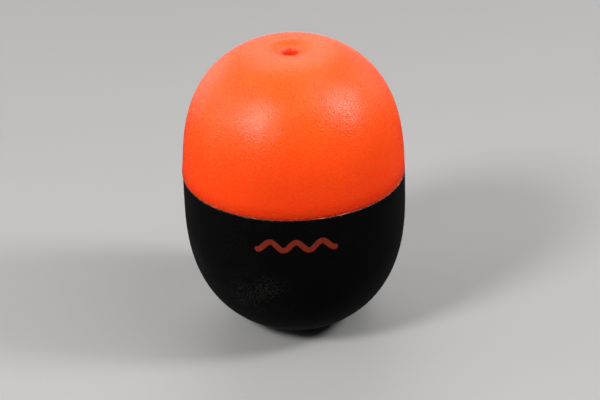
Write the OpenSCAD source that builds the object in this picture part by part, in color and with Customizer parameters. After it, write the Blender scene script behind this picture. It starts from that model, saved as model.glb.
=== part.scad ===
// Through-line fishing float: two moulded half shells bonded over a central line tube.
// The origin is the middle of the flat base ring, and +Z runs up the tube.

/* [Body] */
// Diameter at the widest height
body_d = 40; // [36:0.5:44]
// Height of the widest point above the base
widest_h = 24.5; // [23:0.5:26]
// Rise of the dome's full curve above the widest point
dome_rise = 29.8; // [29.4:0.1:31]
// Depth by which the dome's tip is flattened
crown_drop = 1.35; // [1:0.05:1.6]
// Radius of the flattened crown
crown_r = 11; // [9:0.5:12]
// Fullness of the dome seen from above
dome_side = 2; // [1.9:0.05:2.3]
// Fullness of the dome's shoulder
dome_tip = 3.35; // [3:0.05:3.6]
// Fullness of the bowl seen from above
bowl_side = 2.25; // [2:0.05:2.5]
// Fullness of the bowl's lower shoulder
bowl_tip = 2.55; // [2.2:0.05:2.8]
// Depth by which the bowl's tip is cut off to make the base
base_cut = 0.5; // [0.4:0.1:0.8]
// Wall thickness of both shells
wall = 1.6; // [1.4:0.1:2]

/* [Dimples] */
// Outer diameter of the dimple round each end of the tube
dimple_d = 8.4; // [7.6:0.1:9]
// Depth of the dimple
dimple_depth = 0.7; // [0.4:0.05:0.8]

/* [Seam] */
// Height of the seam between the black bowl and the orange dome
seam_h = 29.4; // [27:0.2:32]
// Length of the dome's tongue that drops into the bowl's rebate
tongue_len = 2; // [1.5:0.1:3]
// Bevel on the two visible edges of the seam
seam_bevel = 0.15; // [0.1:0.05:0.25]

/* [Line tube] */
// Bore for the fishing line
bore_d = 2.5; // [2:0.1:2.8]
// Outer diameter of the tube
tube_d = 3.5; // [3.4:0.1:4]
// Height by which each end of the tube stands out of its dimple
tube_proud = 0.1; // [0.05:0.05:0.2]
// Bevel on the edges of the tube's ends
tube_bevel = 0.12; // [0.05:0.01:0.14]

/* [Sockets and bonds] */
// Length of each socket that holds the tube, measured from the dimple
socket_len = 6; // [4:0.5:10]
// Wall thickness of a socket
socket_wall = 1.35; // [1.1:0.05:1.6]
// Thickness of the cement in the seam and round the tube
cement = 0.1; // [0.06:0.02:0.16]

/* [Printed mark] */
// Width of the printed ripple
mark_w = 14.5; // [13.5:0.5:18]
// Height of the printed ripple, from its lowest to its highest edge
mark_h = 2.6; // [2.4:0.1:3]
// Width of the printed line
mark_line = 1; // [0.6:0.1:1.2]
// Height of the ripple's middle above the base
mark_z = 24.4; // [23:0.2:25.6]
// Thickness of the ink
ink = 0.05; // [0.04:0.01:0.1]

/* [Hidden] */
$fn = 180;

ORANGE = [1, 0.34, 0.12];
BLACK = [0.07, 0.07, 0.075];
TUBE_ORANGE = [0.95, 0.27, 0.1];
INK_RED = [0.8, 0.2, 0.1];
CEMENT = [0.9, 0.88, 0.82];

CURVE_STEPS = 26;    // steps along each large curve
DIMPLE_STEPS = 8;    // steps across a dimple
RIPPLES = 3;         // full waves in the printed mark
RIPPLE_STEPS = 60;   // steps along the printed line
CAP_STEPS = 6;       // steps round each end of the printed line
FILLET = 0.5;        // cement squeezed out at a socket's inner end

body_r = body_d / 2;
bowl_drop = widest_h + base_cut;
bore_r = bore_d / 2;
tube_r = tube_d / 2;
dimple_r = dimple_d / 2;
socket_r = tube_r + cement;
boss_r = socket_r + socket_wall;
tube_bottom = dimple_depth - tube_proud;
dimple_floor = crown_z(tube_r) - dimple_depth;
tube_top = dimple_floor + tube_proud;
upper_boss_end = dimple_floor - socket_len;
lower_boss_end = dimple_depth + socket_len;
tongue_r = body_r - 0.55 * wall;
rebate_r = tongue_r + cement;
tongue_end = seam_h - tongue_len;
rebate_floor = tongue_end - cement;
ripple_swing = (mark_h - mark_line) / 2;
ripple_reach = (mark_w - mark_line) / 2;
ripple_turn = 180 * RIPPLES / ripple_reach;

// A rounded quarter outline: t runs from 0 at its side to 90 at its tip.
function quarter(t, reach, rise, side, tip) =
    [reach * pow(cos(t), 2 / side), rise * pow(sin(t), 2 / tip)];
// The angle at which that outline has risen to a height, or come in to a radius
function angle_at_height(height, rise, tip) = asin(pow(height / rise, tip / 2));
function angle_at_radius(radius, reach, side) = acos(pow(radius / reach, side / 2));

// How far the crown lies below the dome's full curve at a radius
function flattening(r) = crown_drop * pow(max(1 - pow(r / crown_r, 2), 0), 3);
// Height of the dome's outside at a radius, without the dimple
function crown_z(r) =
    widest_h + dome_rise * pow(1 - pow(r / body_r, dome_side), 1 / dome_tip) - flattening(r);
// Depth of the dimple at a radius: full as far as the tube, then a smooth rise to its rim
function dimple(r) =
    let (across = min(max((r - tube_r) / (dimple_r - tube_r), 0), 1))
    dimple_depth * (1 + cos(180 * across)) / 2;

// A point of the dome, or of its inner face with inset set to the wall thickness
function dome_point(t, inset = 0) =
    let (p = quarter(t, body_r - inset, dome_rise - inset, dome_side, dome_tip))
    [p.x, widest_h + p.y - flattening(p.x)];
function dome_angle(z, inset = 0) = angle_at_height(z - widest_h, dome_rise - inset, dome_tip);
// A point of the bowl below the widest height, or of its inner face
function bowl_point(t, inset = 0) =
    let (p = quarter(t, body_r - inset, bowl_drop - inset, bowl_side, bowl_tip))
    [p.x, widest_h - p.y];

// Points along a stretch of the dome or the bowl, between two angles
function dome_run(from, to, inset = 0) =
    [for (i = [0 : CURVE_STEPS]) dome_point(from + (to - from) * i / CURVE_STEPS, inset)];
function bowl_run(from, to, inset = 0) =
    [for (i = [0 : CURVE_STEPS]) bowl_point(from + (to - from) * i / CURVE_STEPS, inset)];
// The bowl's outside, from the seam's bevel down to the base ring
function bowl_outside() =
    concat([for (z = [seam_h - seam_bevel, (seam_h + widest_h) / 2]) dome_point(dome_angle(z))],
           bowl_run(0, angle_at_height(widest_h, bowl_drop, bowl_tip)));
// Radii across a dimple, from its rim in to the socket
function dimple_radii() =
    [for (i = [1 : DIMPLE_STEPS]) dimple_r + (socket_r - dimple_r) * i / DIMPLE_STEPS];

// The orange dome, its tube socket and the tongue that enters the bowl
module upper_shell() {
    outside = dome_run(dome_angle(seam_h + seam_bevel),
                       angle_at_radius(dimple_r, body_r, dome_side));
    dish = [for (r = dimple_radii()) [r, crown_z(r) - dimple(r)]];
    socket = [[socket_r, upper_boss_end], [boss_r, upper_boss_end]];
    inside = dome_run(angle_at_radius(boss_r, body_r - wall, dome_side),
                      dome_angle(seam_h, wall), wall);
    inner_r = dome_point(dome_angle(seam_h, wall), wall).x;
    tongue = [[inner_r, tongue_end], [tongue_r, tongue_end], [tongue_r, seam_h],
              [dome_point(dome_angle(seam_h)).x - seam_bevel, seam_h]];
    color(ORANGE) rotate_extrude() polygon(concat(outside, dish, socket, inside, tongue));
}

// The black bowl, with the rebate that takes the tongue and a flat base ring
module lower_shell() {
    rim = [[rebate_r, seam_h], [dome_point(dome_angle(seam_h)).x - seam_bevel, seam_h]];
    dish = [for (r = dimple_radii()) [r, dimple(r)]];
    socket = [[socket_r, lower_boss_end], [boss_r, lower_boss_end]];
    inside = bowl_run(angle_at_radius(boss_r, body_r - wall, bowl_side), 0, wall);
    rebate = [dome_point(dome_angle(rebate_floor, wall), wall), [rebate_r, rebate_floor]];
    color(BLACK) rotate_extrude()
        polygon(concat(rim, bowl_outside(), [[dimple_r, 0]], dish, socket, inside, rebate));
}

// The tube that the fishing line runs through
module line_tube() {
    color(TUBE_ORANGE) rotate_extrude() polygon([
        [bore_r + tube_bevel, tube_bottom], [tube_r - tube_bevel, tube_bottom],
        [tube_r, tube_bottom + tube_bevel], [tube_r, tube_top - tube_bevel],
        [tube_r - tube_bevel, tube_top], [bore_r + tube_bevel, tube_top],
        [bore_r, tube_top - tube_bevel], [bore_r, tube_bottom + tube_bevel]]);
}

// Cement round the tongue and under its end
module seam_cement() {
    inner_r = dome_point(dome_angle(seam_h, wall), wall).x;
    color(CEMENT) rotate_extrude() polygon([
        [inner_r, rebate_floor], [rebate_r, rebate_floor], [rebate_r, seam_h],
        [tongue_r, seam_h], [tongue_r, tongue_end], [inner_r, tongue_end]]);
}

// Cement in a socket, from just inside the dimple to a fillet at the socket's inner end
module tube_cement(outer_end, inner_end) {
    inwards = sign(inner_end - outer_end);
    color(CEMENT) rotate_extrude() polygon([
        [tube_r, outer_end + inwards * cement], [socket_r, outer_end + inwards * cement],
        [socket_r, inner_end], [socket_r + FILLET, inner_end],
        [tube_r, inner_end + inwards * FILLET]]);
}

module upper_tube_cement() {
    tube_cement(dimple_floor, upper_boss_end);
}

module lower_tube_cement() {
    tube_cement(dimple_depth, lower_boss_end);
}

// A point beside the ripple's centre line: side is 1 for its upper edge and -1 for its lower one
function ripple_edge(x, side) =
    let (slope = -ripple_swing * ripple_turn * PI / 180 * sin(ripple_turn * x),
         half = side * mark_line / 2 / sqrt(1 + slope * slope))
    [x - half * slope, ripple_swing * cos(ripple_turn * x) + half];
// The round end of the ripple, turning clockwise from an angle
function ripple_cap(x, from) =
    [for (i = [1 : CAP_STEPS - 1])
     let (a = from - 180 * i / CAP_STEPS)
     [x + mark_line / 2 * cos(a), ripple_swing * cos(ripple_turn * x) + mark_line / 2 * sin(a)]];

// The printed ripple's outline
module ripple() {
    xs = [for (i = [0 : RIPPLE_STEPS]) ripple_reach * (2 * i / RIPPLE_STEPS - 1)];
    polygon(concat([for (x = xs) ripple_edge(x, 1)], ripple_cap(ripple_reach, 90),
                   [for (x = xs) ripple_edge(-x, -1)], ripple_cap(-ripple_reach, -90)));
}

// A generic ripple of ink, printed on the front of the bowl
module print_mark() {
    skin = [for (p = bowl_outside()) if (abs(p.y - mark_z) < 3 * mark_h) p];
    color(INK_RED) intersection() {
        rotate_extrude() polygon(concat(skin, [for (i = [len(skin) - 1 : -1 : 0])
                                               skin[i] + [ink, 0]]));
        translate([0, 0, mark_z]) rotate([90, 0, 0]) linear_extrude(body_d) ripple();
    }
}

upper_shell();
lower_shell();
line_tube();
seam_cement();
upper_tube_cement();
lower_tube_cement();
print_mark();
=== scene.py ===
"""Looks of a through-line fishing float: two moulded half shells, a line tube and a ripple."""

import math

import bpy
from mathutils import Matrix, Vector, noise


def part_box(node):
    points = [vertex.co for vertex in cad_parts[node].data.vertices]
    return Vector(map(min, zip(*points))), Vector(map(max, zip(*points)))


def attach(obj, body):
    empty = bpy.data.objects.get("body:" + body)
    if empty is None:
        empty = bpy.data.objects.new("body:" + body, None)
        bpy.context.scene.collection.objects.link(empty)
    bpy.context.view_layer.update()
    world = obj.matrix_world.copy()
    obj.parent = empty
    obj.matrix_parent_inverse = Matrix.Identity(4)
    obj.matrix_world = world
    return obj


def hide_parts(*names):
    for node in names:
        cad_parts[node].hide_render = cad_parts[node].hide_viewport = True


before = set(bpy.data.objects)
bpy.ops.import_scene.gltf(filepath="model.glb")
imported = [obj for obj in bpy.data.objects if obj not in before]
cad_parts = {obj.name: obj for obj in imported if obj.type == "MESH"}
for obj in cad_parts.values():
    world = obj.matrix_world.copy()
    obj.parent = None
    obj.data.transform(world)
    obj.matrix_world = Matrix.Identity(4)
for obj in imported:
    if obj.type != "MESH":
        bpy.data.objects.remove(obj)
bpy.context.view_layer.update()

MM = 0.001  # Blender works in metres, and the design below is in millimetres

# ---------------------------------------------------------------- the design's dimensions, in mm
BOWL_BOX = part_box("lower_shell")
TUBE_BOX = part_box("line_tube")
BODY_R = BOWL_BOX[1].x / MM
SEAM_H = BOWL_BOX[1].z / MM
TUBE_R = TUBE_BOX[1].x / MM
TUBE_BOTTOM = TUBE_BOX[0].z / MM
TUBE_TOP = TUBE_BOX[1].z / MM

WIDEST_H = 24.5  # height of the widest point
DOME_RISE = 29.8  # rise of the dome's full curve above it
DOME_SIDE = 2.0  # fullness of the dome seen from above
DOME_TIP = 3.35  # fullness of its shoulder
CROWN_DROP = 1.35  # how far its tip is flattened
CROWN_R = 11.0  # radius of the flattened crown
BOWL_DROP = 25.0  # depth of the bowl's full curve
BOWL_SIDE = 2.25  # fullness of the bowl seen from above
BOWL_TIP = 2.55  # fullness of its lower shoulder
WALL = 1.6
DIMPLE_R = 4.2
DIMPLE_DEPTH = 0.7
BORE_R = 1.25
CEMENT = 0.1  # thickness of the cement
SOCKET_LEN = 6.0
SOCKET_WALL = 1.35
TONGUE_LEN = 2.0

SOCKET_R = TUBE_R + CEMENT
BOSS_R = SOCKET_R + SOCKET_WALL
TONGUE_R = BODY_R - 0.55 * WALL
REBATE_R = TONGUE_R + CEMENT

# Details finer than the design, in mm
DOME_EDGE_IN = 0.32  # how far the dome's bottom edge rounds inwards
DOME_EDGE_H = 0.62  # height over which it rounds
MOUTH_EDGE = 0.04  # radius of the edge where the dimple meets the dome's socket
BOWL_EDGE = 0.14  # radius of the bowl's top edge
TUBE_EDGE = 0.05  # radius of the tube ends' outer edges
FLARE = 0.44  # how far the bore's mouths flare out
FLARE_DEPTH = 0.8  # how deep into the bore the flare reaches
LINE_W = 1.0  # width of the printed line
INK_PROUD = 0.032  # how far the ink stands out of the bowl
INK_SUNK = 0.02  # how far its back lies under the bowl's surface

# Uneven moulding, in mm and radians
LIP_H = 0.7  # height above the seam at which the dome's lip stands out most
LIP_SPREAD = 1.6  # height over which it fades
LIP_OUT = 0.05  # how far it stands out on average
LIP_LEFT = 0.09  # how much further it stands out at the left
RIDGE_H = 0.11  # height of the small ridge beside the top dimple
RIDGE_R = 4.0  # its distance from the axis
RIDGE_W = 0.55  # its width
RIDGE_ANGLE = math.radians(48)  # its middle, at the back right
RIDGE_REACH = 0.62  # how far it runs each way
BACK_ANGLE = math.radians(100)  # the dimple's deepest side
BACK_DEEPER = 0.08  # share by which the dimple is deeper there
FRONT_FILLED = 0.42  # share of its depth that is filled away from there
COLLAR_H = 0.09  # height of the swelling round the tube
COLLAR_LOSS = 0.05  # how much lower it is at the back
COLLAR_W = 0.7  # its width
NICK = 0.05  # depth of the nicks in the bowl's edge

# The picture
LIT_H = 30  # height that the lights face, in mm
CAMERA_H = 28  # height that the camera circles, in mm
CAMERA_DISTANCE = 387.9  # in mm
CAMERA_UP = math.radians(26.78)  # how far it looks down
CAMERA_ROLL = math.radians(1.755)
AIM_RIGHT = 1.055  # how far to the right of the float it aims, in mm
AIM_DOWN = 4.33  # how far below CAMERA_H it aims, in mm

# Steps along curves
JOIN = 0.3  # space left between neighbouring stretches of an outline, in mm
AROUND = 288  # round every lathed piece
ARC = 10  # along a rounded edge
LARGE_CURVE = 84  # along the outside of a shell
INNER_CURVE = 40  # along the inside of a shell
RIPPLE_ALONG = 260  # along the printed line
RIPPLE_ACROSS = 14  # across it
RIPPLES = 3  # full waves in it
SHARP = math.radians(38)  # faces that meet at more than this keep a sharp edge


# ---------------------------------------------------------------- outlines
def quarter(t, reach, rise, side, tip):
    """A point of a rounded quarter outline: t is 0 at its side and a right angle at its tip."""
    return reach * max(math.cos(t), 0) ** (2 / side), rise * max(math.sin(t), 0) ** (2 / tip)


def angle_at_height(height, rise, tip):
    return math.asin((height / rise) ** (tip / 2))


def angle_at_radius(radius, reach, side):
    return math.acos((radius / reach) ** (side / 2))


def flattening(r):
    """How far the crown lies below the dome's full curve at a radius."""
    return CROWN_DROP * max(1 - (r / CROWN_R) ** 2, 0) ** 3


def crown_z(r):
    """Height of the dome's outside at a radius, without the dimple."""
    return WIDEST_H + DOME_RISE * (1 - (r / BODY_R) ** DOME_SIDE) ** (1 / DOME_TIP) - flattening(r)


def dimple(r):
    """Depth of the dimple at a radius."""
    across = min(max((r - TUBE_R) / (DIMPLE_R - TUBE_R), 0), 1)
    return DIMPLE_DEPTH * (1 + math.cos(math.pi * across)) / 2


def dome_point(t, inset=0.0):
    r, rise = quarter(t, BODY_R - inset, DOME_RISE - inset, DOME_SIDE, DOME_TIP)
    return r, WIDEST_H + rise - flattening(r)


def dome_angle(z, inset=0.0):
    return angle_at_height(z - WIDEST_H, DOME_RISE - inset, DOME_TIP)


def bowl_point(t, inset=0.0):
    r, drop = quarter(t, BODY_R - inset, BOWL_DROP - inset, BOWL_SIDE, BOWL_TIP)
    return r, WIDEST_H - drop


def steps(start, end, count):
    """Evenly spaced values from start to end, both included."""
    return [start + (end - start) * i / count for i in range(count + 1)]


def rounded(corner, towards, away, radius, count):
    """A corner of an outline, replaced by an arc from its side towards one point to the other."""
    a = Vector(corner) + (Vector(towards) - Vector(corner)).normalized() * radius
    b = Vector(corner) + (Vector(away) - Vector(corner)).normalized() * radius
    out = []
    for s in steps(0, 1, count):
        p = a * (1 - s) ** 2 + 2 * Vector(corner) * s * (1 - s) + b * s * s
        out.append((p.x, p.y))
    return out


def dome_outline():
    """The orange half shell in section: outside, dimple, socket, inside and tongue."""
    seam_r = dome_point(dome_angle(SEAM_H))[0]
    inner_r = dome_point(dome_angle(SEAM_H, WALL), WALL)[0]
    boss_end = crown_z(TUBE_R) - DIMPLE_DEPTH - SOCKET_LEN
    edge = [
        (seam_r - DOME_EDGE_IN * (1 - math.sin(a)), SEAM_H + DOME_EDGE_H * (1 - math.cos(a)))
        for a in steps(0, math.pi / 2, ARC)
    ]
    side_start = dome_angle(SEAM_H + DOME_EDGE_H + JOIN)
    side_end = angle_at_radius(DIMPLE_R + 2 * JOIN, BODY_R, DOME_SIDE)
    side = [dome_point(t) for t in steps(side_start, side_end, LARGE_CURVE)]
    dish = [(r, crown_z(r) - dimple(r)) for r in steps(DIMPLE_R + JOIN, SOCKET_R + 0.1, 22)]
    corner = (SOCKET_R, crown_z(SOCKET_R) - dimple(SOCKET_R))
    mouth = rounded(corner, dish[-1], (SOCKET_R, boss_end), MOUTH_EDGE, 3)
    socket = [(SOCKET_R, z) for z in steps(mouth[-1][1] - 0.5, boss_end, 6)]
    inside_start = angle_at_radius(BOSS_R, BODY_R - WALL, DOME_SIDE)
    inside_end = dome_angle(SEAM_H, WALL)
    inside = [dome_point(t, WALL) for t in steps(inside_start, inside_end, INNER_CURVE)]
    tongue_end = SEAM_H - TONGUE_LEN
    tongue = [(inner_r, tongue_end), (TONGUE_R, tongue_end), (TONGUE_R, SEAM_H)]
    return edge + side + dish + mouth + socket + [(BOSS_R, boss_end)] + inside + tongue


def bowl_outside():
    """The black half shell's outside, from just under its top edge down to the base ring."""
    upper = [dome_point(dome_angle(z)) for z in steps(SEAM_H - BOWL_EDGE, WIDEST_H + 2 * JOIN, 8)]
    base_angle = angle_at_height(WIDEST_H, BOWL_DROP, BOWL_TIP)
    lower = [bowl_point(t) for t in steps(0, base_angle, LARGE_CURVE)]
    return upper + lower


def bowl_outline():
    """The black half shell in section: rim, outside, base, dimple, socket, inside and rebate."""
    seam_r = dome_point(dome_angle(SEAM_H))[0]
    boss_end = DIMPLE_DEPTH + SOCKET_LEN
    rebate_floor = SEAM_H - TONGUE_LEN - CEMENT
    edge = rounded((seam_r, SEAM_H), (REBATE_R, SEAM_H), (seam_r, 0), BOWL_EDGE, 6)
    rim = [(REBATE_R, SEAM_H)] + edge
    outside = bowl_outside()[1:]
    dish = [(r, dimple(r)) for r in steps(DIMPLE_R, SOCKET_R, 20)]
    socket = [(SOCKET_R, z) for z in steps(DIMPLE_DEPTH + 0.5, boss_end, 6)]
    inside_start = angle_at_radius(BOSS_R, BODY_R - WALL, BOWL_SIDE)
    inside = [bowl_point(t, WALL) for t in steps(inside_start, 0, INNER_CURVE)]
    rebate = [dome_point(dome_angle(rebate_floor, WALL), WALL), (REBATE_R, rebate_floor)]
    return rim + outside + dish + socket + [(BOSS_R, boss_end)] + inside + rebate


def tube_outline():
    """The line tube in section: its bore flares at both mouths, and its outer edges are rounded."""
    flare = [(BORE_R + FLARE * (1 - math.cos(a)), FLARE_DEPTH * (1 - math.sin(a)))
             for a in steps(0, math.pi / 2, ARC)]
    end = flare[-1][0]
    top, bottom = (TUBE_R, TUBE_TOP), (TUBE_R, TUBE_BOTTOM)
    top_edge = rounded(top, (end, TUBE_TOP), bottom, TUBE_EDGE, 4)
    bottom_edge = rounded(bottom, top, (end, TUBE_BOTTOM), TUBE_EDGE, 4)
    outside = [(TUBE_R, z) for z in steps(TUBE_TOP - 1, TUBE_BOTTOM + 1, 12)]
    bore = [(BORE_R, z) for z in steps(TUBE_BOTTOM + FLARE_DEPTH, TUBE_TOP - FLARE_DEPTH, 12)]
    top_mouth = [(r, TUBE_TOP - depth) for r, depth in flare]
    bottom_mouth = [(r, TUBE_BOTTOM + depth) for r, depth in reversed(flare)]
    return top_mouth + top_edge + outside + bottom_edge + bottom_mouth + bore[1:-1]


# ---------------------------------------------------------------- meshes
def lathe(name, outline, wobble=None):
    """A closed solid of revolution from a closed outline of (radius, height) in millimetres.
    wobble gives a small change of radius and height at a point and an angle."""
    verts = []
    for r, z in outline:
        for k in range(AROUND):
            angle = 2 * math.pi * k / AROUND
            dr, dz = wobble(r, z, angle) if wobble else (0.0, 0.0)
            x = (r + dr) * math.cos(angle) * MM
            y = (r + dr) * math.sin(angle) * MM
            verts.append((x, y, (z + dz) * MM))
    rows = len(outline)
    faces = []
    for i in range(rows):
        a, b = i * AROUND, (i + 1) % rows * AROUND
        for k in range(AROUND):
            n = (k + 1) % AROUND
            faces.append((a + k, a + n, b + n, b + k))
    return solid(name, verts, faces)


def solid(name, verts, faces):
    """A mesh object with outward normals, smooth but for its sharp edges."""
    mesh = bpy.data.meshes.new(name)
    mesh.from_pydata(verts, [], faces)
    mesh.update()
    if signed_volume(mesh) < 0:
        mesh.flip_normals()
    mesh.polygons.foreach_set("use_smooth", [True] * len(mesh.polygons))
    mesh.set_sharp_from_angle(angle=SHARP)
    obj = bpy.data.objects.new(name, mesh)
    bpy.context.scene.collection.objects.link(obj)
    return obj


def signed_volume(mesh):
    """Six times the mesh's volume, negative if its normals point inwards."""
    total = 0.0
    mesh.calc_loop_triangles()
    for tri in mesh.loop_triangles:
        a, b, c = (mesh.vertices[i].co for i in tri.vertices)
        total += a.dot(b.cross(c))
    return total


def bell(offset, width):
    """1 at no offset, falling smoothly towards 0 beyond a width."""
    return math.exp(-((offset / width) ** 2))


def bump_at(angle, centre, width):
    """A bell round an angle."""
    off = (angle - centre + math.pi) % (2 * math.pi) - math.pi
    return bell(off, width)


def on_circle(angle, z=0.0):
    """The point at an angle on a circle of radius 1, for noise that closes on itself."""
    return Vector((math.cos(angle), math.sin(angle), z))


def seam_lip(z, angle):
    """How far the dome stands out just above the seam: most at the left, with fine waves."""
    waves = noise.noise(Vector((math.cos(angle) * 9, math.sin(angle) * 9, z * 0.6)))
    out = LIP_OUT - LIP_LEFT * math.cos(angle) + 0.012 * waves
    return out * bell(z - SEAM_H - LIP_H, LIP_SPREAD)


def dimple_lift(r, angle):
    """How far the top is lifted: a ridge, a filled front, a collar round the tube and slow waves."""
    ridge = bump_at(angle, RIDGE_ANGLE, RIDGE_REACH) * bell(r - RIDGE_R, RIDGE_W)
    back = bump_at(angle, BACK_ANGLE, 1.0)
    clear_of_tube = min(max((r - 2.0) / 0.9, 0), 1)
    filled = FRONT_FILLED * (1 - back) * clear_of_tube - BACK_DEEPER * back
    collar = (COLLAR_H - COLLAR_LOSS * back) * bell(r - SOCKET_R, COLLAR_W)
    waves = noise.noise(Vector((r * math.cos(angle), r * math.sin(angle), 3.0)) * 0.45)
    return RIDGE_H * ridge + filled * dimple(r) + collar + 0.03 * waves


def dome_wobble(r, z, angle):
    """Uneven moulding: a lip that stands out at the left of the seam, and a lopsided dimple."""
    near_side = z > SEAM_H and r > BODY_R - 2
    near_dimple = z > TUBE_TOP - 1.5 and SOCKET_R - 0.2 < r < 9
    out = seam_lip(z, angle) if near_side else 0.0
    up = dimple_lift(r, angle) if near_dimple else 0.0
    return out, up


def bowl_wobble(r, z, angle):
    """Tiny nicks and waves in the bowl's top edge."""
    if z <= SEAM_H - 1 or r <= REBATE_R + 0.2:
        return 0.0, 0.0
    nicks = max(noise.noise(on_circle(angle) * 38), 0)
    waves = noise.noise(on_circle(angle) * 11)
    return (0.015 * waves - NICK * nicks) * bell(z - SEAM_H, 0.25), 0.0


def seam_ring():
    """The cement in the seam: its hidden ring, and an uneven line squeezed out into the groove."""
    inner_r = dome_point(dome_angle(SEAM_H, WALL), WALL)[0]
    tongue_end = SEAM_H - TONGUE_LEN
    floor = tongue_end - CEMENT
    outer = BODY_R - 0.08
    lip = [
        (REBATE_R, SEAM_H - 0.005),
        (outer - 0.3, SEAM_H - 0.005),
        (outer - 0.08, SEAM_H - 0.03),
        (outer, SEAM_H + 0.02),
        (outer - 0.05, SEAM_H + 0.07),
        (outer - 0.3, SEAM_H + 0.02),
        (TONGUE_R, SEAM_H + 0.005),
    ]
    bottom = [(inner_r, floor), (REBATE_R, floor)]
    outline = bottom + lip + [(TONGUE_R, tongue_end), (inner_r, tongue_end)]

    def squeeze(r, z, angle):
        if r < outer - 0.1 or z < SEAM_H - 0.2:
            return 0.0, 0.0
        p = on_circle(angle, 0.2)
        out = 0.07 * noise.noise(p * 24) + 0.05 * noise.noise(p * 71)
        return out, 0.03 * noise.noise(p * 45)

    return lathe("seam_cement_line", outline, squeeze)


def ripple_grid():
    """Points (x, z) of the printed ripple, in rows across its line, with round ends."""
    low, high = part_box("print_mark")
    swing = ((high.z - low.z) / MM - LINE_W) / 2
    middle = (high.z + low.z) / 2 / MM
    reach = ((high.x - low.x) / MM - LINE_W) / 2
    turn = RIPPLES * math.pi / reach
    half = LINE_W / 2
    grid = []
    for s in steps(-1 - half / reach, 1 + half / reach, RIPPLE_ALONG):
        x = min(max(s, -1), 1) * reach
        past = (s * reach - x) / half
        slope = -swing * turn * math.sin(turn * x)
        size = math.sqrt(1 + slope * slope)
        width = half * math.sqrt(max(1 - past * past, 0.0004))
        row = []
        for v in steps(-1, 1, RIPPLE_ACROSS):
            waves = noise.noise(Vector((x * 2.2, v, 0.0)))
            specks = noise.noise(Vector((x * 9, v, 4.0)))
            off = v * width * (1 + 0.035 * waves + 0.02 * specks)
            px = x + past * half - slope / size * off
            pz = middle + swing * math.cos(turn * x) + off / size
            row.append((px, pz))
        grid.append(row)
    return grid


def ripple_ribbon():
    """The printed ripple: a thin closed skin of ink that follows the bowl."""
    grid = ripple_grid()
    verts, faces = [], []
    for skin in (INK_PROUD, -INK_SUNK):
        for row in grid:
            for px, pz in row:
                r = surface_r(pz) + skin
                verts.append((px * MM, -math.sqrt(r * r - px * px) * MM, pz * MM))
    n = RIPPLE_ACROSS + 1
    back = len(grid) * n
    for i in range(RIPPLE_ALONG):
        for j in range(RIPPLE_ACROSS):
            a = i * n + j
            faces.append((a, a + n, a + n + 1, a + 1))
            faces.append((back + a, back + a + 1, back + a + n + 1, back + a + n))
    rim = [i * n for i in range(RIPPLE_ALONG + 1)]
    rim += [RIPPLE_ALONG * n + j for j in range(1, RIPPLE_ACROSS + 1)]
    rim += [i * n + RIPPLE_ACROSS for i in range(RIPPLE_ALONG - 1, -1, -1)]
    rim += list(range(RIPPLE_ACROSS - 1, 0, -1))
    for i, a in enumerate(rim):
        b = rim[(i + 1) % len(rim)]
        faces.append((a, back + a, back + b, b))
    return solid("ripple_print", verts, faces)


def surface_r(z):
    """The float's outside radius at a height near the seam."""
    if z > WIDEST_H:
        return dome_point(dome_angle(z))[0]
    return bowl_point(angle_at_height(WIDEST_H - z, BOWL_DROP, BOWL_TIP))[0]


# ---------------------------------------------------------------- materials
GRAIN = 0.28  # size of the plastics' moulded grain, in mm


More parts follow.
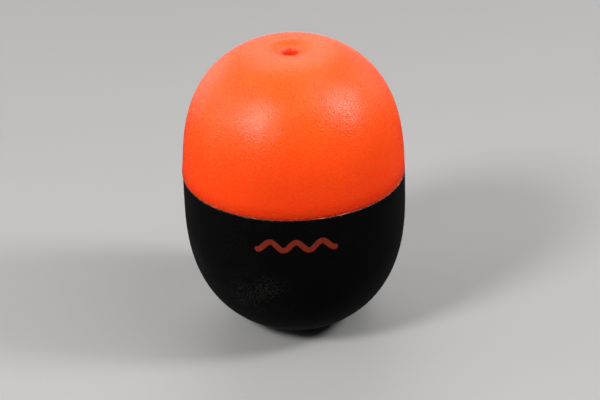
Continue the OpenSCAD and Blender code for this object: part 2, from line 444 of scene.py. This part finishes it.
class Graph:
    """Short names for building one material's nodes."""

    def __init__(self, name):
        self.material = bpy.data.materials.new(name)
        self.material.use_nodes = True
        self.tree = self.material.node_tree
        self.shader = self.tree.nodes["Principled BSDF"]
        coords = self.add("ShaderNodeTexCoord")
        self.place = coords.outputs["Object"]

    def add(self, kind, **values):
        node = self.tree.nodes.new(kind)
        for key, value in values.items():
            setattr(node, key, value)
        return node

    def link(self, a, b):
        self.tree.links.new(a, b)

    def noise(self, size_mm, detail=3.0, stretch=None):
        """Noise whose features are about size_mm across."""
        node = self.add("ShaderNodeTexNoise")
        node.inputs["Scale"].default_value = 1 / (size_mm * MM)
        node.inputs["Detail"].default_value = detail
        node.inputs["Roughness"].default_value = 0.55
        place = self.place
        if stretch:
            mapping = self.add("ShaderNodeMapping")
            mapping.inputs["Scale"].default_value = stretch
            self.link(place, mapping.inputs["Vector"])
            place = mapping.outputs["Vector"]
        self.link(place, node.inputs["Vector"])
        return node.outputs["Fac"]

    def cells(self, size_mm):
        """Distance to scattered points about size_mm apart."""
        node = self.add("ShaderNodeTexVoronoi")
        node.inputs["Scale"].default_value = 1 / (size_mm * MM)
        self.link(self.place, node.inputs["Vector"])
        return node.outputs["Distance"]

    def ramp(self, value, low, high, low_to=0.0, high_to=1.0):
        """value, mapped smoothly so that low gives low_to and high gives high_to."""
        node = self.add("ShaderNodeMapRange", interpolation_type="SMOOTHSTEP")
        node.inputs["From Min"].default_value = low
        node.inputs["From Max"].default_value = high
        node.inputs["To Min"].default_value = low_to
        node.inputs["To Max"].default_value = high_to
        self.link(value, node.inputs["Value"])
        return node.outputs["Result"]

    def times(self, a, b):
        node = self.add("ShaderNodeMath", operation="MULTIPLY")
        self.link(a, node.inputs[0])
        if isinstance(b, float):
            node.inputs[1].default_value = b
        else:
            self.link(b, node.inputs[1])
        return node.outputs["Value"]

    def plus(self, a, b):
        node = self.add("ShaderNodeMath", operation="ADD")
        self.link(a, node.inputs[0])
        self.link(b, node.inputs[1])
        return node.outputs["Value"]

    def mix(self, amount, a, b):
        """Colour a turned to colour b by amount; each is a colour or a socket."""
        node = self.add("ShaderNodeMix", data_type="RGBA")
        self.link(amount, node.inputs["Factor"])
        colour_a, colour_b, result = node.inputs[6], node.inputs[7], node.outputs[2]
        for value, socket in ((a, colour_a), (b, colour_b)):
            if isinstance(value, tuple):
                socket.default_value = (*value, 1.0)
            else:
                self.link(value, socket)
        return result

    def bump(self, height, distance_mm, strength=1.0, below=None):
        """A normal tilted by a height, on top of another normal if one is given."""
        node = self.add("ShaderNodeBump")
        node.inputs["Strength"].default_value = strength
        node.inputs["Distance"].default_value = distance_mm * MM
        self.link(height, node.inputs["Height"])
        if below is not None:
            self.link(below, node.inputs["Normal"])
        return node.outputs["Normal"]

    def distance(self, point_mm):
        """How far the surface is from a point, in metres."""
        node = self.add("ShaderNodeVectorMath", operation="DISTANCE")
        self.link(self.place, node.inputs[0])
        node.inputs[1].default_value = [value * MM for value in point_mm]
        return node.outputs["Value"]

    def height(self):
        """The point's height above the base, in metres."""
        split = self.add("ShaderNodeSeparateXYZ")
        self.link(self.place, split.inputs["Vector"])
        return split.outputs["Z"]

    def set(self, **values):
        """Sets shader inputs, named with _ for each space, to values or sockets."""
        for key, value in values.items():
            socket = self.shader.inputs[key.replace("_", " ")]
            if isinstance(value, bpy.types.NodeSocket):
                self.link(value, socket)
            else:
                socket.default_value = value


def dome_plastic():
    """Fluorescent orange plastic with a fine moulded grain, a few specks and a rubbed seam edge;
    painted light makes it paler towards the top, painted shade darkens it towards the seam, and a
    painted red glow stands in for its fluorescence.
    """
    g = Graph("dome_plastic")
    # Painted light: the colour is paler towards the top and deeper towards the seam, for how the light
    # falls on the dome.
    painted_top_light_h = 48
    height = g.ramp(g.height(), SEAM_H * MM, painted_top_light_h * MM)
    colour = g.mix(height, (1.0, 0.084, 0.009), (1.0, 0.133, 0.012))
    fine = g.noise(GRAIN, detail=1.0)
    colour = g.mix(g.times(g.ramp(g.noise(9.0), 0.35, 0.65), 0.5), colour, (1.0, 0.1, 0.008))
    specks = g.ramp(g.cells(2.4), 0.035, 0.055, 1.0, 0.0)
    colour = g.mix(g.times(specks, 0.55), colour, (0.34, 0.03, 0.008))
    # Painted shade: the colour darkens towards the seam, and the painted glow is dimmer there too.
    painted_seam_shade = g.ramp(g.height(), (SEAM_H + 3.4) * MM, SEAM_H * MM)
    colour = g.mix(g.times(painted_seam_shade, 0.6), colour, (0.6, 0.03, 0.003))
    edge = g.ramp(g.height(), (SEAM_H + 0.8) * MM, (SEAM_H + 0.05) * MM)
    rubbed = g.times(edge, g.ramp(g.noise(0.42), 0.56, 0.64))
    colour = g.mix(g.times(rubbed, 0.6), colour, (1.0, 0.42, 0.28))
    g.set(Base_Color=colour, Roughness=g.ramp(fine, 0.36, 0.64, 0.38, 0.15))
    grain = g.bump(fine, 0.095)
    g.set(Normal=g.bump(g.noise(1.3, detail=2.0), 0.006, 1.0, grain))
    g.set(Subsurface_Weight=0.35, Subsurface_Radius=(1.0, 0.25, 0.1), Subsurface_Scale=1.4 * MM)
    # Painted glow: a red emission, dimmer towards the seam, stands in for the plastic's fluorescence.
    g.set(IOR=1.5, Specular_IOR_Level=0.35, Emission_Strength=0.31)
    g.set(Emission_Color=g.mix(painted_seam_shade, (1.0, 0.0, 0.0), (0.55, 0.0, 0.0)))
    g.set(Sheen_Weight=0.045, Sheen_Roughness=0.35)
    return g.material


def bowl_plastic():
    """Black plastic with the same grain, a faint pale dusting low at its front left and on its left
    flank that also paints a sheen there, and chips in its rim.
    """
    g = Graph("bowl_plastic")
    fine = g.noise(GRAIN, detail=1.0)
    # Painted reflection: these patches pale the black where a sheen would show; a fine noise breaks
    # them into a dusting.
    front_sheen_patch = (-6.0, -15.0, 13.0)
    flank_sheen_patch = (-17.0, -7.0, 15.0)
    front = g.ramp(g.distance(front_sheen_patch), 9 * MM, 2 * MM, 0.12, 1.0)
    flank_sheen = g.ramp(g.distance(flank_sheen_patch), 8 * MM, 2 * MM, 0.0, 0.9)
    sheen_patches = g.times(g.plus(front, flank_sheen), g.ramp(g.noise(4.5), 0.38, 0.6, 0.3, 1.15))
    dust_and_sheen = g.times(g.ramp(g.noise(0.27, detail=1.0), 0.42, 0.7), sheen_patches)
    colour = g.mix(dust_and_sheen, (0.0025, 0.0023, 0.0022), (0.029, 0.0275, 0.0265))
    rim = g.ramp(g.height(), (SEAM_H - 0.35) * MM, (SEAM_H - 0.05) * MM)
    chips = g.times(rim, g.ramp(g.noise(0.35, detail=2.0), 0.62, 0.7))
    colour = g.mix(g.times(chips, 0.5), colour, (0.3, 0.2, 0.16))
    g.set(Base_Color=colour, Roughness=0.25)
    grain = g.bump(fine, 0.13)
    g.set(Normal=g.bump(g.noise(1.3, detail=2.0), 0.006, 1.0, grain))
    g.set(IOR=1.5, Specular_IOR_Level=0.27)
    return g.material


def tube_plastic():
    """Smoother orange plastic that lets light through, with faint drawing lines along it and a faint
    painted red glow.
    """
    g = Graph("tube_plastic")
    lines = g.noise(0.25, stretch=(1.0, 1.0, 0.05))
    g.set(Base_Color=g.mix(lines, (0.8, 0.055, 0.008), (0.88, 0.085, 0.016)))
    g.set(Roughness=g.ramp(lines, 0.3, 0.7, 0.2, 0.32), Normal=g.bump(lines, 0.01, 0.4))
    g.set(Subsurface_Weight=0.6, Subsurface_Radius=(1.0, 0.3, 0.12), Subsurface_Scale=1.5 * MM)
    # Painted glow: a faint red emission makes the tube glow like a lit part.
    g.set(IOR=1.5, Emission_Color=(1.0, 0.0, 0.0, 1.0), Emission_Strength=0.06)
    return g.material


def set_cement():
    """Set cement: cloudy, orange-tinged where it is thin, with a few pale crumbs."""
    g = Graph("set_cement")
    cloud = g.ramp(g.noise(0.6), 0.5, 0.66)
    crumbs = g.ramp(g.noise(1.7, detail=1.0), 0.58, 0.66)
    colour = g.mix(cloud, (0.5, 0.07, 0.022), (0.08, 0.02, 0.01))
    g.set(Base_Color=g.mix(crumbs, colour, (0.8, 0.3, 0.17)))
    g.set(Roughness=g.ramp(cloud, 0.0, 1.0, 0.55, 0.75), Normal=g.bump(g.noise(0.2), 0.02, 0.5))
    g.set(Subsurface_Weight=0.3, Subsurface_Scale=0.4 * MM, IOR=1.5, Specular_IOR_Level=0.25)
    return g.material


def print_ink():
    """Matt orange-red ink over black, thin in places, with pinholes."""
    g = Graph("print_ink")
    thin = g.ramp(g.noise(0.9), 0.35, 0.7)
    pinholes = g.ramp(g.noise(0.14, detail=1.0), 0.66, 0.74)
    colour = g.mix(thin, (0.36, 0.033, 0.0115), (0.265, 0.023, 0.0085))
    g.set(Base_Color=g.mix(g.times(pinholes, 0.7), colour, (0.03, 0.012, 0.01)))
    g.set(Roughness=g.ramp(thin, 0.0, 1.0, 0.5, 0.62), Normal=g.bump(g.noise(0.28), 0.012, 0.5))
    return g.material


def floor_material():
    """A plain pale matt surface with the faintest unevenness."""
    g = Graph("floor_pale")
    g.set(Base_Color=g.mix(g.noise(60.0), (0.41, 0.405, 0.4), (0.43, 0.425, 0.42)))
    g.set(Roughness=0.55, Specular_IOR_Level=0.3)
    return g.material


# ---------------------------------------------------------------- stage
def direction(azimuth, elevation):
    """Towards an azimuth, which is 0 in front and grows to the right, and an elevation."""
    flat = math.cos(elevation)
    return Vector((math.sin(azimuth) * flat, -math.cos(azimuth) * flat, math.sin(elevation)))


def add_light(name, azimuth, elevation, distance, size, power):
    """A round soft light, which faces the float from angles in degrees and a distance in metres."""
    data = bpy.data.lights.new(name, "AREA")
    data.shape = "DISK"
    data.size = size
    data.energy = power
    obj = bpy.data.objects.new(name, data)
    towards = direction(math.radians(azimuth), math.radians(elevation))
    obj.location = Vector((0, 0, LIT_H * MM)) + distance * towards
    obj.rotation_euler = (-towards).to_track_quat("-Z", "Y").to_euler()
    bpy.context.scene.collection.objects.link(obj)


def add_camera():
    """A long lens that looks down on the float, rolled slightly, and aimed below and right of it."""
    middle = Vector((0, 0, CAMERA_H * MM))
    place = middle + CAMERA_DISTANCE * MM * direction(0, CAMERA_UP)
    ahead = (middle - place).normalized()
    right = Vector((1, 0, 0))
    up = right.cross(ahead)
    cam_right = right * math.cos(CAMERA_ROLL) - up * math.sin(CAMERA_ROLL)
    cam_up = up * math.cos(CAMERA_ROLL) + right * math.sin(CAMERA_ROLL)
    target = middle + cam_right * AIM_RIGHT * MM - cam_up * AIM_DOWN * MM
    ahead = (target - place).normalized()
    cam_right = (cam_right - ahead * cam_right.dot(ahead)).normalized()
    cam_up = cam_right.cross(ahead)
    data = bpy.data.cameras.new("camera")
    data.sensor_width = 36
    data.lens = 129.04
    obj = bpy.data.objects.new("camera", data)
    bpy.context.scene.collection.objects.link(obj)
    obj.matrix_world = basis(cam_right, cam_up, -ahead, place)
    bpy.context.scene.camera = obj


def basis(x, y, z, place):
    """The matrix of an object with these axes at a place."""
    return Matrix((
        (x.x, y.x, z.x, place.x),
        (x.y, y.y, z.y, place.y),
        (x.z, y.z, z.z, place.z),
        (0, 0, 0, 1),
    ))


def add_floor():
    """A floor that the camera sees, and that reflections and bounced light don't, for a true black."""
    bpy.ops.mesh.primitive_plane_add(size=6)
    floor = bpy.context.object
    floor.name = "floor"
    floor.data.materials.append(floor_material())
    floor.visible_glossy = False
    floor.visible_diffuse = False


def set_world():
    """A dim white world with a glow straight behind the float, for the pale rims of its outline."""
    world = bpy.data.worlds.new("studio")
    world.use_nodes = True
    tree = world.node_tree
    background = tree.nodes["Background"]
    background.inputs["Color"].default_value = (1.0, 1.0, 1.0, 1.0)
    coords = tree.nodes.new("ShaderNodeTexCoord")
    split = tree.nodes.new("ShaderNodeSeparateXYZ")
    glow = tree.nodes.new("ShaderNodeMapRange")
    glow.interpolation_type = "SMOOTHSTEP"
    glow.inputs["From Min"].default_value = 0.86
    glow.inputs["From Max"].default_value = 0.99
    glow.inputs["To Min"].default_value = 0.035
    glow.inputs["To Max"].default_value = 0.55
    tree.links.new(coords.outputs["Generated"], split.inputs["Vector"])
    tree.links.new(split.outputs["Y"], glow.inputs["Value"])
    tree.links.new(glow.outputs["Result"], background.inputs["Strength"])
    bpy.context.scene.world = world
    bpy.context.scene.view_settings.view_transform = "Standard"


# ---------------------------------------------------------------- assembly
def dress(obj, material, slot, *nodes):
    """Gives a new piece its material and body, and lets it stand for CAD nodes; slot is not used."""
    obj.data.materials.append(material)
    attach(obj, "root")
    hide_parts(*nodes)


def redress(node, material):
    """Gives a CAD node a better material."""
    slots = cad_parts[node].data.materials
    slots.clear()
    slots.append(material)


cement = set_cement()
dome = lathe("orange_dome", dome_outline(), dome_wobble)
bowl = lathe("black_bowl", bowl_outline(), bowl_wobble)
tube = lathe("line_tube_lipped", tube_outline())
dress(dome, dome_plastic(), "dome_plastic", "upper_shell")
dress(bowl, bowl_plastic(), "bowl_plastic", "lower_shell")
dress(tube, tube_plastic(), "tube_plastic", "line_tube")
dress(seam_ring(), cement, "cement", "seam_cement")
dress(ripple_ribbon(), print_ink(), "print_ink", "print_mark")
redress("upper_tube_cement", cement)
redress("lower_tube_cement", cement)

add_camera()
add_floor()
set_world()
# Name, azimuth and elevation in degrees, distance and size in metres, and power in watts
add_light("key_left", -48, 40, 0.55, 0.14, 2.2)
add_light("key_right", 82, 38, 0.55, 0.14, 1.7)
add_light("top_left", -110, 45, 0.6, 0.7, 0.48)
add_light("top_right", 70, 60, 0.6, 0.35, 0.75)
add_light("left", -90, 20, 0.7, 0.4, 0.75)
add_light("back_left", -142, 8, 0.7, 0.4, 0.47)
add_light("back_right", 135, 15, 0.7, 0.4, 0.35)
add_light("back", 180, 45, 4.0, 3.5, 46.0)
